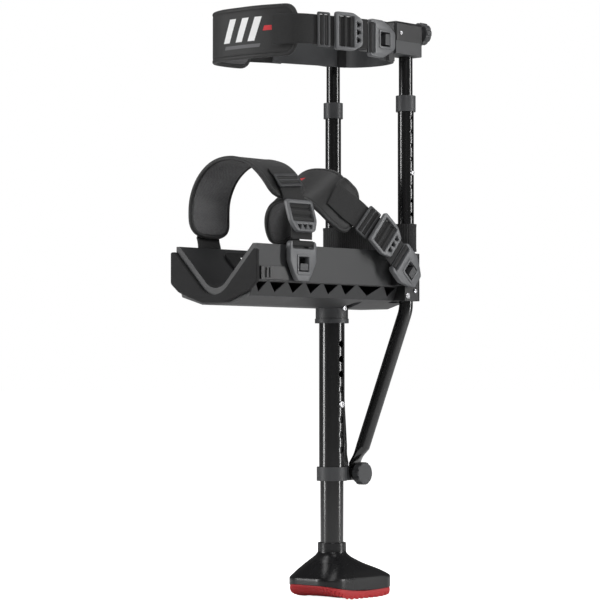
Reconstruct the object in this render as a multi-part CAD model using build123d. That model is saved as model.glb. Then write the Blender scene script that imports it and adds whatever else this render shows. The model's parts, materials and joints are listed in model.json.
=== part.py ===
from build123d import *

import math
import os

# Hands-free knee crutch, millimetres. +X is forward, where the bent knee points, +Y is the far
# side, +Z is up. The origin is on the floor under the axis of the leg tube, on the rubber tread.

# Leg: an inner tube that slides in an outer one
leg_outer_od = 34.93
leg_inner_od = leg_outer_od - 3.18
leg_inner_wall = 1.6
slide_gap = 0.08              # radial gap where one tube slides in another
seat_gap = 0.05               # radial gap where a tube or a bolt is seated
leg_tube_bottom = 160.0
leg_tube_top = 404.0
leg_inner_bottom = 31.0
leg_inner_top = 300.0
leg_pin_z = 263.0
leg_hole_pitch = 20.64
leg_holes_below = 3
leg_holes_above = 4
leg_pin_r = 4.6

# Platform: a V trough for the shin, with a band along each side
platform_rear = -229.0
platform_front = 58.0         # behind the uprights and the brackets
yoke_front = platform_front + 32.0  # the trough goes on between the brackets as far as this
band_y = 72.0
band_wall = 3.5
band_bottom = 424.0
band_top = 472.0
trough_top_y = band_y - 6.0
trough_floor = 416.0
trough_round = 25.0
trough_wall = 5.0
keel_flat_y = 24.0
keel_bottom = 394.5
keel_side_y = band_y - 11.0
keel_side_z = 405.0
keel_wall = 3.0
rib_wall = 3.0
rib_places = (-202.0, -167.0, -132.0, -97.0, -62.0, -27.0, 27.0)
truss_apex_z = 410.0
boss_wall = 4.0
finger_r = 8.5                # finger hole over the socket's button
pad_thickness = 4.0
pad_rear = platform_rear + 72.0
pad_front = platform_front - 4.0
soft_gap = 0.3
window_x = platform_rear + 116.0
window_length = 36.0
window_low = 436.0
window_high = 462.0
window_skip_y = band_y - 27.0          # the side trusses are open only outside this

# Uprights: two pairs of tubes beside the knee
upright_x = platform_front + 21.0
upright_y = band_y - 5.5
upper_od = 19.05
lower_od = upper_od + 3.17
upper_wall = 1.5
lower_bottom = 433.0
lower_top = 686.0
upper_bottom = 556.0
upper_top = 784.0
upright_pin_z = 581.0
upright_hole_pitch = 19.05
upright_holes_below = 3
upright_holes_above = 4
upright_pin_r = 3.2
collar_od = lower_od + 5.18
collar_height = 22.0
collar_lip = 2.0

# Snap buttons
pin_proud = 2.4               # how far a button stands out of the tube round it
pin_gap = 0.1                 # radial gap of a button in its hole
leaf_thickness = 0.8
pin_dome = 1.2
socket_pin_r = 4.0
brace_pin_r = 3.2
leg_leaf_drop = 34.0
socket_leaf_drop = 29.0
upright_leaf_drop = 17.0
brace_leaf_drop = 17.0

# Rear foam lip
lip_thickness = 5.5
lip_stand = 6.0               # how far the lip stands out past the band
lip_top_width = 6.5
lip_depth = 9.0               # how far the lip's edge lies under the trough's surface

# Leg socket and its button
socket_od = leg_outer_od + 9.57
socket_bottom = 374.0
socket_top = 407.0
socket_button_z = 394.5

# Brackets that hold the uprights and the braces
bracket_rear = platform_front
bracket_front = upright_x + 15.5
bracket_inner_y = upright_y - 15.5
bracket_outer_y = upright_y + 15.5
bracket_bottom = 404.6
bracket_top = 470.0
brace_top = 429.0
bracket_button_z = 418.5
wing_rear = platform_front - 18.0
wing_bottom = 425.0
wing_top = 464.0
bracket_screw_x = platform_front + 4.8
bracket_screw_r = 1.9
bracket_screw_z = (411.5, 428.0)
bracket_round = 8.0
screw_bite = 2.5
screw_head = 2.0

# Braces and the clamp on the leg
brace_od = 19.05
brace_wall = 1.5
brace_bend_z = 393.0
brace_end_z = 204.0           # where the round tube starts to flatten
brace_end_x = leg_outer_od / 2 + 23.535
brace_end_y = leg_outer_od / 2 + 3.035
brace_bend_r = 55.0
tang_thickness = 4.0
tang_width = 20.0
tang_rise = 5.0               # the flat tang starts this far above the clamp
bolt_x = leg_outer_od / 2 + 17.535
bolt_z = 168.3
bolt_r = 4.0
clamp_bottom = 158.8
clamp_top = 177.8
clamp_od = leg_outer_od + 6.67
clamp_lug_half = 9.0
clamp_lug_end = bolt_x + 10.0
clamp_slot = 2.5
clamp_hub = 6.0
bolt_head = 6.0

# Knobs
knob_r = 15.5
knob_length = 11.0
knob_flutes = 10
knob_flute_r = 2.2
knob_hub_r = 8.5

# Knee sleeve
sleeve_bottom = 472.5
sleeve_top = 511.0
sleeve_wall = 3.0

# Foot
neck_r = leg_outer_od / 2 + 2.135
neck_top = 75.0
flare_top = 61.0              # where the neck starts to flare
skirt_top = 24.0
foot_rear = -53.0
foot_toe = 87.0
foot_half = 46.0
foot_corner = 28.0
rim_heel_z = 20.0
rim_low_z = 10.8
rim_low_x = 25.0
rim_toe_z = 14.0
tread_inset = 1.2
flat_rear = -6.0
flat_front = 36.0
heel_rise = 17.0
toe_rise = 6.0
foot_bolt_z = 52.0
foot_bolt_r = 3.0
foot_bolt_half = neck_r + 4.4

# Thigh saddle
cap_top = upper_top + 3.0
saddle_bottom = cap_top - 50.0
saddle_top = cap_top + 3.0
saddle_wall = 4.0
arm_bottom = cap_top - 45.0
arm_top = cap_top - 27.0
arm_inner_y = upright_y - 14.0
arm_outer_y = upright_y + 17.0
arm_front = upright_x + 18.0
arm_rear = -14.0
arm_bar_y = upright_y + 13.5              # outer face of the arm behind the upright
cap_rear = upright_x - 41.0
saddle_knob_y = -upright_y - 6.5
saddle_knob_z = cap_top - 11.0

# Straps
webbing_width = 40.0
webbing_thickness = 2.2
twist_gap = 0.02 * webbing_width   # free space under webbing that leans as it runs
calf_pad_width = 73.0
calf_pad_thickness = 7.0
thigh_pad_height = 67.0
thigh_pad_thickness = 7.0
thigh_strap_z = cap_top - 26.5

clip_thickness = 2.6

# Buckles: lengths along the strap and widths across it
hook_width = webbing_width + 11.0
hook_nose = 22.0              # from the window's centre to the nose
hook_bar = 30.0               # from the window's centre to the webbing end
hook_thickness = 8.0
hook_window = 19.0
hook_slot = 4.5
hook_bar_r = 2.6
slider_length = 44.0
slider_width = webbing_width + 11.0
slider_thickness = 6.0
keeper_length = 20.0
keeper_width = webbing_width + 7.0
keeper_thickness = 3.0
peg_length = 9.0
peg_width = 15.0
peg_slack = 1.2               # gap between a peg and the edge of the window that pulls on it
peg_proud = 1.2
hook_stand = 3.0              # gap between a hook and the wall its peg stands on
buckle_gap = 0.5
webbing_end_gap = 2.6         # free space in front of a hook's bar, so that the bar can turn
hook_bar_at = hook_bar - hook_bar_r

leg_outer_r = leg_outer_od / 2
leg_inner_r = leg_inner_od / 2
leg_bore_r = leg_inner_r + slide_gap
lower_r = lower_od / 2
upper_r = upper_od / 2
lower_bore_r = upper_r + slide_gap
brace_r = brace_od / 2

parts = {}


def upright_tube(x, y, bottom, top, radius, bore=0.0):
    middle = Pos(x, y, (bottom + top) / 2)
    solid = middle * Cylinder(radius, top - bottom)
    return solid - middle * Cylinder(bore, top - bottom + 2) if bore else solid


def block(x0, x1, y0, y1, z0, z1):
    return Pos((x0 + x1) / 2, (y0 + y1) / 2, (z0 + z1) / 2) * Box(abs(x1 - x0), abs(y1 - y0), abs(z1 - z0))


def rod(start, direction, length, radius):
    return Plane(origin=start, z_dir=direction) * Pos(0, 0, length / 2) * Cylinder(radius, length)


def prism(points, plane, depth):
    return extrude(plane * make_face(Polyline(*points, close=True)), depth)


def ribbon(stations, thickness):
    """A band through stations of (centre, direction across the band, width)."""
    centres = [Vector(*centre) for centre, _, _ in stations]
    sections = []
    for i, (_, across, width) in enumerate(stations):
        run = centres[min(i + 1, len(centres) - 1)] - centres[max(i - 1, 0)]
        run = run.normalized()
        side = Vector(*across)
        side = side - run * side.dot(run)
        sections.append(Plane(origin=centres[i], x_dir=side, z_dir=run) * Rectangle(width, thickness))
    return loft(sections, ruled=True)


def standing_band(points, thickness, bottom, top):
    path = Spline(*points)
    return Pos(0, 0, bottom) * extrude(trace(path, thickness), top - bottom)


# --- Foot ---
def foot_outline(rear, toe, half, corner, z):
    return Pos((rear + toe) / 2, 0, z) * RectangleRounded(toe - rear, 2 * half, corner)


def make_foot():
    shoulders = [  # rear, toe, half width, corner radius, height
        (-30.0, 31.0, 26.0, 25.0, 53.0),
        (-37.0, 47.0, 33.5, 26.0, 45.0),
        (-44.5, 69.0, 39.5, 27.0, 37.5),
        (-51.0, 83.0, 44.0, foot_corner, 30.5),
        (foot_rear, foot_toe, foot_half, foot_corner, skirt_top),
    ]
    rim = ThreePointArc((foot_rear, rim_heel_z), (rim_low_x, rim_low_z), (foot_toe, rim_toe_z))
    above_rim = make_face([rim, Polyline(rim @ 1, (foot_toe, neck_top), (foot_rear, neck_top), rim @ 0)])
    skirt = extrude(foot_outline(foot_rear, foot_toe, foot_half, foot_corner, 0), skirt_top)
    shell = loft([Pos(0, 0, flare_top) * Circle(neck_r + 0.9)] + [foot_outline(*row) for row in shoulders])
    shell += upright_tube(0, 0, flare_top, neck_top, neck_r)
    shell += skirt & extrude(Plane.XZ * above_rim, foot_half + 1, both=True)
    shell -= upright_tube(0, 0, leg_inner_bottom, neck_top + 1, leg_inner_r + seat_gap)
    shell -= rod((0, -foot_half, foot_bolt_z), (0, 1, 0), 2 * foot_half, foot_bolt_r + seat_gap)
    parts["foot_shell"] = shell

    heel_mid = (flat_rear - (flat_rear - foot_rear) * 0.55, heel_rise * 0.27)
    toe_mid = (flat_front + (foot_toe - flat_front) * 0.55, toe_rise * 0.27)
    side = make_face([
        ThreePointArc((foot_rear, heel_rise), heel_mid, (flat_rear, 0)),
        Line((flat_rear, 0), (flat_front, 0)),
        ThreePointArc((flat_front, 0), toe_mid, (foot_toe, toe_rise)),
        Line((foot_toe, toe_rise), rim @ 1),
        rim,
        Line(rim @ 0, (foot_rear, heel_rise)),
    ])
    inset = tread_inset
    plan = foot_outline(foot_rear + inset, foot_toe - inset, foot_half - inset, foot_corner - inset, 0)
    parts["foot_tread"] = extrude(plan, skirt_top) & extrude(Plane.XZ * side, foot_half + 1, both=True)

    half = foot_bolt_half
    parts["foot_bolt"] = rod((0, -half, foot_bolt_z), (0, 1, 0), 2 * half, foot_bolt_r)


# --- Snap buttons: a pin with a head, pushed out by a bent leaf spring ---
springs = {}


def make_button(name, holder, centre, side, inside_r, pin_r, outside, drop):
    x, y, z = centre
    head_r = pin_r + 1.4
    head_wall = 1.2
    head_top = math.sqrt(inside_r**2 - head_r**2) - pin_gap
    pin = rod((x, y + side * head_top, z), (0, side, 0), outside + pin_proud - head_top, pin_r - pin_gap)
    tip = pin.edges().filter_by(GeomType.CIRCLE).sort_by(lambda edge: side * edge.center().Y)[-1]
    pin = fillet(tip, pin_dome)
    head = rod((x, y + side * (head_top - head_wall), z), (0, side, 0), head_wall, head_r)
    parts[f"{name}_button"] = pin + head
    near = side * (head_top - head_wall - leaf_thickness)
    far = -side * (inside_r - 2.2)
    route = Polyline((near, head_r), (near, -head_r), (-side * 1.0, -drop), (far, head_r))
    leaf = extrude(Plane.YZ * trace(route, leaf_thickness), min(pin_r, inside_r * 0.35), both=True)
    springs.setdefault(f"{holder}_button_springs", []).append(Pos(x, y, z) * leaf)


# --- Leg tubes ---
def make_leg():
    outer = upright_tube(0, 0, leg_tube_bottom, leg_tube_top, leg_outer_r, leg_bore_r)
    for i in range(-leg_holes_below, leg_holes_above + 1):
        outer -= rod((0, 0, leg_pin_z + i * leg_hole_pitch), (0, -1, 0), leg_outer_r + 1, leg_pin_r)
    outer -= rod((0, 0, socket_button_z), (0, -1, 0), leg_outer_r + 1, socket_pin_r)
    parts["outer_leg_tube"] = outer
    inside = leg_inner_r - leg_inner_wall
    inner = upright_tube(0, 0, leg_inner_bottom, leg_inner_top, leg_inner_r, inside)
    inner -= rod((0, 0, leg_pin_z), (0, -1, 0), leg_inner_r + 1, leg_pin_r)
    inner -= rod((0, -leg_outer_r, foot_bolt_z), (0, 1, 0), leg_outer_od, foot_bolt_r + seat_gap)
    parts["inner_leg_tube"] = inner
    make_button("leg", "leg", (0, 0, leg_pin_z), -1, inside, leg_pin_r, leg_outer_r, leg_leaf_drop)

    socket = upright_tube(0, 0, socket_bottom, socket_top, socket_od / 2)
    socket -= upright_tube(0, 0, socket_bottom - 1, leg_tube_top, leg_outer_r + seat_gap)
    socket -= rod((0, 0, socket_button_z), (0, -1, 0), socket_od, socket_pin_r)
    socket += upright_tube(0, 0, socket_bottom, socket_bottom + 6, socket_od / 2 + 1, socket_od / 2 - 1)
    parts["leg_socket"] = socket
    place = (0, 0, socket_button_z)
    make_button("socket", "frame", place, -1, leg_bore_r, socket_pin_r, socket_od / 2, socket_leaf_drop)


# --- Clamp on the leg, with its bolt and knob ---
def fluted_knob(start, direction, hub, bore_depth, bolt_radius):
    disc = Pos(0, 0, hub + knob_length / 2) * Cylinder(knob_r, knob_length)
    disc = chamfer(disc.edges().filter_by(GeomType.CIRCLE), 1.2)
    for i in range(knob_flutes):
        turn = Rot(0, 0, 360 / knob_flutes * i)
        disc -= turn * Pos(knob_r + 0.7, 0, hub + knob_length / 2) * Cylinder(knob_flute_r, knob_length)
    knob = disc + Pos(0, 0, hub / 2) * Cylinder(knob_hub_r, hub)
    knob -= Pos(0, 0, bore_depth / 2) * Cylinder(bolt_radius + seat_gap, bore_depth)
    return Plane(origin=start, z_dir=direction) * knob


def make_clamp():
    ring = upright_tube(0, 0, clamp_bottom, clamp_top, clamp_od / 2)
    ring += block(0, clamp_lug_end, -clamp_lug_half, clamp_lug_half, clamp_bottom, clamp_top)
    ring -= upright_tube(0, 0, clamp_bottom - 1, clamp_top + 1, leg_outer_r + seat_gap)
    ring -= block(0, clamp_lug_end + 1, -clamp_slot / 2, clamp_slot / 2, clamp_bottom - 1, clamp_top + 1)
    ring -= rod((bolt_x, -clamp_od, bolt_z), (0, 1, 0), 2 * clamp_od, bolt_r + seat_gap)
    parts["leg_clamp"] = ring

    tang_outer = clamp_lug_half + tang_thickness
    bolt_end = tang_outer + clamp_hub + knob_length - 3
    bolt = rod((bolt_x, tang_outer, bolt_z), (0, -1, 0), tang_outer + bolt_end, bolt_r)
    hexagon = Plane(origin=(bolt_x, tang_outer, bolt_z), z_dir=(0, 1, 0)) * RegularPolygon(bolt_r * 1.7, 6)
    parts["clamp_bolt"] = bolt + extrude(hexagon, bolt_head)
    start = (bolt_x, -tang_outer - soft_gap, bolt_z)
    parts["clamp_knob"] = fluted_knob(start, (0, -1, 0), clamp_hub, clamp_hub + knob_length - 3, bolt_r)


# --- Braces from the brackets down to the clamp ---
def make_brace():
    top = Vector(upright_x, upright_y, brace_top)
    bend = Vector(upright_x, upright_y, brace_bend_z)
    end = Vector(brace_end_x, brace_end_y, brace_end_z)
    path = FilletPolyline(top, bend, end, radius=brace_bend_r)
    start_plane = Plane(origin=top, z_dir=(0, 0, -1))
    tube = sweep(start_plane * Circle(brace_r), path=path)
    hollow = sweep(start_plane * Circle(brace_r - brace_wall), path=path)
    tang_y = clamp_lug_half + tang_thickness / 2
    run = (end - bend).normalized()
    neck_plane = Plane(origin=end, x_dir=(1, 0, 0), z_dir=run)
    flat_plane = Plane(origin=(bolt_x, tang_y, clamp_top + tang_rise), x_dir=(1, 0, 0), z_dir=(0, 0, -1))
    neck = loft([neck_plane * Circle(brace_r), flat_plane * Rectangle(tang_width, tang_thickness)])
    tang = block(
        bolt_x - tang_width / 2, bolt_x + tang_width / 2,
        tang_y - tang_thickness / 2, tang_y + tang_thickness / 2,
        bolt_z, clamp_top + tang_rise,
    )
    tang += rod((bolt_x, tang_y - tang_thickness / 2, bolt_z), (0, 1, 0), tang_thickness, tang_width / 2)
    tang -= rod((bolt_x, tang_y - tang_thickness, bolt_z), (0, 1, 0), 2 * tang_thickness, bolt_r + seat_gap)
    brace = (tube - hollow) + neck + tang
    return brace - rod((upright_x, upright_y, bracket_button_z), (0, 1, 0), brace_r + 1, brace_pin_r)


# --- Brackets, lower uprights and collars ---
def make_bracket(side, wing):
    inner, outer = side * bracket_inner_y, side * bracket_outer_y
    body = block(bracket_rear, bracket_front, inner, outer, bracket_bottom, bracket_top)
    front = body.edges().filter_by(Axis.Z).group_by(Axis.X)[-1]
    body = fillet(front, bracket_round)
    if wing:
        body += block(wing_rear, bracket_rear, side * band_y, outer, wing_bottom, wing_top)
    body -= upright_tube(upright_x, side * upright_y, bracket_bottom - 1, brace_top + 1, brace_r + seat_gap)
    body -= upright_tube(upright_x, side * upright_y, lower_bottom - 1, bracket_top + 1, lower_r + seat_gap)
    button_run = bracket_outer_y - upright_y + 1
    body -= rod((upright_x, side * upright_y, bracket_button_z), (0, side, 0), button_run, brace_pin_r)
    for z in bracket_screw_z:
        start = (bracket_screw_x, side * (bracket_inner_y - 1), z)
        body -= rod(start, (0, side, 0), bracket_outer_y - bracket_inner_y + 2, bracket_screw_r + seat_gap)
    return body


def make_uprights():
    collars, screws = [], []
    for name, side in (("right", -1), ("left", 1)):
        x, y = upright_x, side * upright_y
        lower = upright_tube(x, y, lower_bottom, lower_top, lower_r, lower_bore_r)
        for i in range(-upright_holes_below, upright_holes_above + 1):
            z = upright_pin_z + i * upright_hole_pitch
            lower -= rod((x, y, z), (0, side, 0), lower_r + 1, upright_pin_r)
        parts[f"{name}_lower_upright"] = lower
        collar_bottom = lower_top + collar_lip - collar_height
        collar = upright_tube(x, y, collar_bottom, lower_top + collar_lip, collar_od / 2, lower_r + seat_gap)
        collar += upright_tube(x, y, lower_top + seat_gap, lower_top + collar_lip, lower_r + 1, lower_bore_r)
        collars.append(collar)
        inside = upper_r - upper_wall
        upper = upright_tube(x, y, upper_bottom, upper_top, upper_r, inside)
        upper -= rod((x, y, upright_pin_z), (0, side, 0), upper_r + 1, upright_pin_r)
        parts[f"{name}_upper_upright"] = upper
        pin_place = (x, y, upright_pin_z)
        make_button(f"{name}_upright", "thigh", pin_place, side, inside, upright_pin_r, lower_r, upright_leaf_drop)
        parts[f"{name}_bracket"] = make_bracket(side, wing=side < 0)
        parts[f"{name}_brace"] = make_brace() if side > 0 else mirror(make_brace(), Plane.XZ)
        place = (x, y, bracket_button_z)
        outside = bracket_outer_y - upright_y
        inside = brace_r - brace_wall
        make_button(f"{name}_brace", "frame", place, side, inside, brace_pin_r, outside, brace_leaf_drop)
        screws += [
            rod((bracket_screw_x, side * (bracket_inner_y - screw_bite), z), (0, side, 0),
                bracket_outer_y - bracket_inner_y + screw_bite, bracket_screw_r)
            + rod((bracket_screw_x, side * bracket_outer_y, z), (0, side, 0), screw_head, bracket_screw_r * 2)
            for z in bracket_screw_z
        ]
    parts["upright_collars"] = Compound(children=collars)
    parts["bracket_screws"] = Compound(children=screws)
    reach = upright_y * 2
    radius = lower_r + soft_gap
    middle = Pos(upright_x, 0, sleeve_bottom)
    outline = SlotCenterToCenter(reach, 2 * (radius + sleeve_wall), rotation=90)
    outline -= SlotCenterToCenter(reach, 2 * radius, rotation=90)
    parts["knee_sleeve"] = middle * extrude(outline, sleeve_top - sleeve_bottom)


# --- Platform ---
trough_centre_z = trough_floor + trough_round
trough_rise = band_top - trough_centre_z
trough_slope = math.atan2(trough_rise, trough_top_y) + math.asin(trough_round / math.hypot(trough_rise, trough_top_y))


def trough_line(depth, end_y):
    """Right half of the trough's line at a depth below its surface: its foot and its end."""
    radius = trough_round + depth
    foot_y = radius * math.sin(trough_slope)
    foot_z = trough_centre_z - radius * math.cos(trough_slope)
    return (foot_y, foot_z), (end_y, foot_z + (end_y - foot_y) * math.tan(trough_slope))


def trough_edges(depth, end_y):
    foot, end = trough_line(depth, end_y)
    bottom = (0, trough_centre_z - trough_round - depth)
    return [
        Line((-end[0], end[1]), (-foot[0], foot[1])),
        ThreePointArc((-foot[0], foot[1]), bottom, foot),
        Line(foot, end),
    ], end


def section_below(depth, end_y, corners):
    """Face under the trough's line, closed by corners listed from the right end down to the middle."""
    edges, _ = trough_edges(depth, end_y)
    return make_face(edges + [Polyline(*corners, *[(-y, z) for y, z in reversed(corners)])])


def along(section, rear, front):
    return Pos(rear, 0, 0) * extrude(Plane.YZ * section, front - rear)


def make_platform():
    outline = [
        (trough_top_y, band_top), (band_y, band_top), (band_y, band_bottom), (band_y - band_wall, band_bottom),
        (keel_side_y, keel_side_z), (keel_flat_y, keel_bottom),
    ]
    full = section_below(0, trough_top_y, outline)
    shell = along(full, platform_rear, platform_front)
    yoke = along(full, platform_front, yoke_front)
    shell += yoke & block(platform_front, yoke_front, -bracket_inner_y, bracket_inner_y, keel_bottom - 1, band_top + 1)

    pocket_y = band_y - band_wall
    _, pocket_end = trough_line(trough_wall, pocket_y)
    pocket = section_below(trough_wall, pocket_y, [
        pocket_end,
        (pocket_y, band_bottom + keel_wall),
        (keel_side_y - keel_wall, keel_side_z + keel_wall * 0.8),
        (keel_flat_y - 1, keel_bottom + keel_wall),
    ])
    ends = (platform_rear,) + rib_places + (platform_front,)
    for rear, front in zip(ends[:-1], ends[1:]):
        bay = along(pocket, rear + rib_wall, front - rib_wall)
        if rear < 0 < front:
            bay -= upright_tube(0, 0, keel_bottom - 1, band_top, socket_od / 2 + boss_wall)
        shell -= bay
        middle, reach = (rear + front) / 2, (front - rear) / 2 - rib_wall
        top = band_bottom - 1
        window = prism([(middle - reach, top), (middle + reach, top), (middle, truss_apex_z)], Plane.XZ, band_y + 1)
        window = window + mirror(window, Plane.XZ)
        shell -= window - block(rear - 1, front + 1, -window_skip_y, window_skip_y, 0, band_top)
    shell -= upright_tube(0, 0, keel_bottom - 1, socket_top + soft_gap, socket_od / 2 + seat_gap)
    shell -= rod((0, 0, socket_button_z), (0, -1, 0), keel_side_y, finger_r)
    half = window_length / 2
    sill = half + rib_wall
    surround = block(window_x - sill, window_x + sill, trough_round, band_y, window_low - rib_wall, band_top)
    shell += along(full, window_x - sill, window_x + sill) & surround
    shell -= block(window_x - half, window_x + half, trough_round, band_y + 1, window_low, window_high)
    for side in (-1, 1):
        for z in bracket_screw_z:
            start = (bracket_screw_x, side * (bracket_inner_y - screw_bite - 1), z)
            shell -= rod(start, (0, side, 0), screw_bite + 2, bracket_screw_r + seat_gap)
    parts["platform_shell"] = shell

    lining_top = trough_top_y - 9
    upper_edges, upper_end = trough_edges(-soft_gap - pad_thickness, lining_top)
    lower_edges, lower_end = trough_edges(-soft_gap, lining_top)
    joins = [Line(upper_end, lower_end), Line((-upper_end[0], upper_end[1]), (-lower_end[0], lower_end[1]))]
    lining = along(make_face(upper_edges + lower_edges + joins), pad_rear, pad_front)
    lining -= block(window_x - half, window_x + half, 0, band_y, window_low, window_high)
    parts["trough_pad"] = lining

    lip_y = band_y + lip_stand
    lip_edge = lip_y - lip_top_width
    _, lip_end = trough_line(lip_depth, lip_edge)
    lip = section_below(lip_depth, lip_edge, [
        lip_end, (lip_y, lip_end[1]), (lip_y, band_bottom - 1), (keel_side_y + 2, keel_side_z + 6),
        (keel_flat_y - 2, keel_bottom + 2.5),
    ])
    parts["rear_lip"] = along(lip, platform_rear - lip_thickness, platform_rear - 0.1)


# --- Buckles: local x runs towards the webbing, local z stands out from the strap ---
def hook_solid():
    half = hook_width / 2
    points = [
        (hook_bar, half - 3), (hook_bar - 3, half), (4, half), (-12, half - 8), (-hook_nose, half - 15),
    ]
    outline = make_face(Polyline(*points, *[(x, -y) for x, y in reversed(points)], close=True))
    solid = extrude(outline, hook_thickness)
    solid -= Pos(0, 0, hook_thickness / 2) * Box(hook_window, hook_window, hook_thickness + 2)
    slot = hook_slot + 2 * hook_bar_r
    inside = webbing_width + 1
    solid -= Pos(hook_bar - slot / 2 + 1, 0, hook_thickness / 2) * Box(slot + 2, inside, hook_thickness + 2)
    bar = rod((hook_bar_at, -inside / 2 - 1, hook_thickness / 2), (0, 1, 0), inside + 2, hook_bar_r)
    return solid + bar


def peg_solid():
    offset = -(hook_window / 2 - peg_length / 2 - peg_slack)
    post = Pos(offset, 0, (hook_thickness + peg_proud - hook_stand) / 2)
    return post * Box(peg_length, peg_width, hook_thickness + peg_proud + hook_stand)


def slider_solid():
    solid = extrude(RectangleRounded(slider_length, slider_width, 5), slider_thickness)
    for x in (-slider_length / 2 + 8, 4):
        solid -= Pos(x, 0, slider_thickness / 2) * Box(6 if x < 0 else 11, webbing_width + 1, slider_thickness + 2)
    for y in (-12, 12):
        solid -= Pos(slider_length / 2 - 6.5, y, slider_thickness / 2) * Box(6, 14, slider_thickness + 2)
    return solid


def keeper_solid():
    solid = extrude(RectangleRounded(keeper_length, keeper_width, 3), keeper_thickness)
    inside = Box(keeper_length - 9, webbing_width + 1, keeper_thickness + 2)
    return solid - Pos(0, 0, keeper_thickness / 2) * inside


def offset_stations(stations, distance, width):
    centres = [Vector(*centre) for centre, _, _ in stations]
    moved = []
    for i, (_, across, _) in enumerate(stations):
        run = centres[min(i + 1, len(centres) - 1)] - centres[max(i - 1, 0)]
        normal = run.cross(Vector(*across)).normalized()
        moved.append((tuple(centres[i] + normal * distance), across, width))
    return moved


def buckle_plane(origin, towards_webbing, outward):
    return Plane(origin=origin, x_dir=towards_webbing, z_dir=outward)


def by_band(base_x, across, stations):
    """Strap stations from (x past the base, side, out from the band's face, up from its top, width)."""
    return [
        ((base_x + x, side * (band_y + out), band_top + up), across, width)
        for x, side, out, up, width in stations
    ]


calf_groups = {"calf_strap_anchors": [], "calf_strap_keepers": [], "calf_strap_pegs": []}


def make_calf_strap(name, far, pad, near, hook_at, pull, slider_at, slider_run, keeper_on):
    stand_off = (calf_pad_thickness + webbing_thickness) / 2 + soft_gap + twist_gap
    across = near[0][1]
    parts[f"{name}_strap_pad"] = ribbon(pad, calf_pad_thickness)
    anchor = far + offset_stations(pad, stand_off, webbing_width)[:3]
    calf_groups["calf_strap_anchors"].append(ribbon(anchor, webbing_thickness))
    stations = offset_stations(pad, stand_off, webbing_width)[-3:] + near
    parts[f"{name}_strap_webbing"] = ribbon(stations, webbing_thickness)
    plane = buckle_plane(hook_at, pull, (0, -1, 0))
    parts[f"{name}_hook"] = plane * hook_solid()
    calf_groups["calf_strap_pegs"].append(plane * peg_solid())
    clear = webbing_thickness / 2 + buckle_gap
    out = Vector(*slider_run).cross(Vector(*across)).normalized()
    parts[f"{name}_slider"] = Plane(
        origin=Vector(*slider_at) + out * clear, x_dir=-Vector(*slider_run), z_dir=out
    ) * slider_solid()
    before, place, after = (Vector(*stations[keeper_on + step][0]) for step in (-1, 0, 1))
    out = (after - before).cross(Vector(*stations[keeper_on][1])).normalized()
    keeper = Plane(origin=place + out * (clear + soft_gap), x_dir=after - before, z_dir=out) * keeper_solid()
    calf_groups["calf_strap_keepers"].append(keeper)


def make_calf_straps():
    wall_y = band_y + webbing_thickness / 2 + soft_gap
    hook_mid = hook_stand + hook_thickness / 2
    level = (1, 0, 0)

    wide, sewn = calf_pad_width, webbing_width
    wall = wall_y - band_y

    rear_x, rear_z = platform_rear + 79.0, band_bottom + 23.0
    bar_z = rear_z + hook_bar + webbing_end_gap
    make_calf_strap(
        "rear",
        far=by_band(platform_rear, level, [(63, 1, wall, -26, sewn), (63, 1, wall, 1, sewn)]),
        pad=by_band(platform_rear, level, [
            (67, 1, 1.5, 15, 48), (67, 1, 5, 40, wide), (67, 1, 2.5, 68, wide), (67, 1, -12, 94, wide),
            (67, 1, -36, 111, wide), (69, 1, -64, 116, wide), (71, -1, -52, 110, wide),
            (73, -1, -34, 98, wide), (75, -1, -20, 81, 66), (77, -1, -11, 63, 50),
        ]),
        near=by_band(platform_rear, level, [
            (78, -1, 1, 43, sewn), (79, -1, 6.5, 25, sewn), (79, -1, hook_mid, bar_z - band_top, sewn),
        ]),
        hook_at=(rear_x, -band_y - hook_stand, rear_z), pull=(0, 0, 1),
        slider_at=(platform_rear + 78.5, -band_y - 3, band_top + 36.5), slider_run=(0, -6, -19), keeper_on=1,
    )

    pull = Vector(-0.745, 0, 0.667)
    tilt, lean, flatter, steeper = (0.667, 0, 0.745), (0.8, 0, 0.6), (0.83, 0, 0.56), (0.76, 0, 0.65)
    window = Vector(platform_front - 1.0, -bracket_outer_y, wing_bottom + 20.0)
    end = window + pull * (hook_bar + webbing_end_gap) - Vector(0, hook_mid, 0)
    before = end + pull * 33.0 + Vector(0, 3.5, 0)
    make_calf_strap(
        "front",
        far=by_band(platform_front, lean, [(-36, 1, wall, -26, sewn), (-52, 1, wall, -2, sewn)]),
        pad=by_band(platform_front, lean, [
            (-62, 1, 3, 21, 46), (-70, 1, 4, 36, 62), (-82, 1, 1, 55, wide), (-95, 1, -12, 72, wide),
            (-107, 1, -34, 84, wide), (-118, 1, -66, 88, wide),
        ]) + by_band(platform_front, flatter, [(-126, -1, -36, 84, wide), (-120, -1, -19, 72, wide)])
        + by_band(platform_front, lean, [(-100, -1, -13, 57, 66)])
        + by_band(platform_front, steeper, [(-81, -1, -10, 47, 50)]),
        near=by_band(platform_front, tilt, [(-70, -1, 1, 36, sewn)])
        + [(tuple(before), tilt, sewn), (tuple(end), tilt, sewn)],
        hook_at=window - Vector(0, hook_stand, 0), pull=pull,
        slider_at=before + Vector(0, -0.6, 0), slider_run=tuple(end - before), keeper_on=3,
    )

    face, clip_low = -band_y - clip_thickness, band_bottom + 2
    clip = block(platform_rear + 7, platform_rear + 59, face, -band_y, clip_low, clip_low + 17)
    for x in (platform_rear + 15, platform_rear + 22):
        clip -= block(x - 2, x + 2, face - 1, -band_y - 1.2, clip_low + 2, clip_low + 15)
    parts["wall_clip"] = clip


# --- Thigh saddle, its arm and caps, and the thigh strap ---
def by_arm(places):
    """Points seen from above, from (x, side, out from the arms' inner face)."""
    return [(x, side * (arm_inner_y + out)) for x, side, out in places]


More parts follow.
